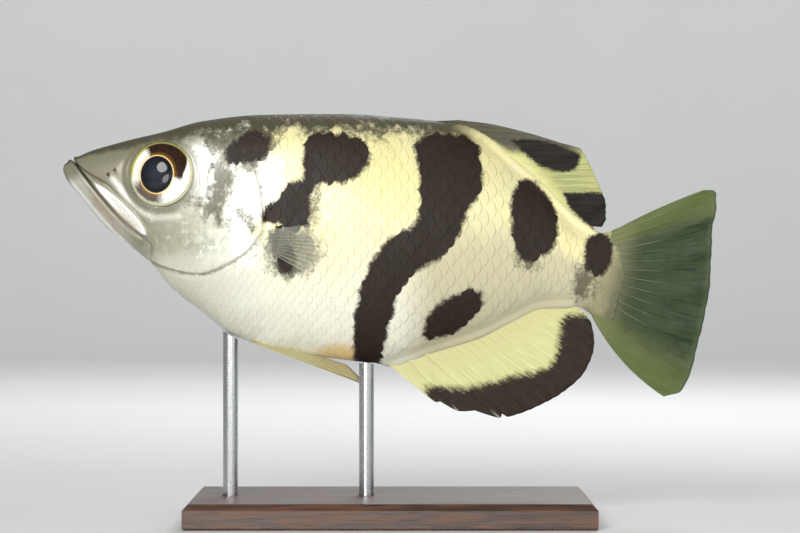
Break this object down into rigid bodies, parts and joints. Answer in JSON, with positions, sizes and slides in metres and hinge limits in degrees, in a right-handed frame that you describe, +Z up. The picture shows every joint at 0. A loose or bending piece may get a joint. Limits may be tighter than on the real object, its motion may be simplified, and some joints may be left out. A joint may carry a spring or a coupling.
{
  "type": "seven-spot archerfish",
  "caption": "Life-size still model of a seven-spot archerfish, fins spread, held by two thin rods over a flat wooden base.",
  "frame": {"origin": "centre of the stand base's underside, which is the bottom centre of the whole object's box", "axes": "+Z up, the fish's head towards -X, its left flank towards -Y"},
  "size_m": [0.1303, 0.044, 0.0813],
  "materials": {
    "skin": "satin",
    "eye": "gloss",
    "fin": "satin",
    "tail_fin": "satin",
    "clear_fin": "satin",
    "wood": "satin",
    "steel": "brushed"
  },
  "bodies": {
    "root": {"head": "skin", "lower_jaw": "skin", "gill_cover_left": "skin", "gill_cover_right": "skin", "trunk": "skin", "tail_stem": "skin", "eye_left": "eye", "eye_right": "eye", "dorsal_fin": "fin", "anal_fin": "fin", "caudal_fin": "tail_fin", "pectoral_fin_left": "clear_fin", "pectoral_fin_right": "clear_fin", "pelvic_fin_left": "fin", "pelvic_fin_right": "fin", "stand_base": "wood", "stand_rod_front": "steel", "stand_rod_rear": "steel"}
  },
  "joints": []
}
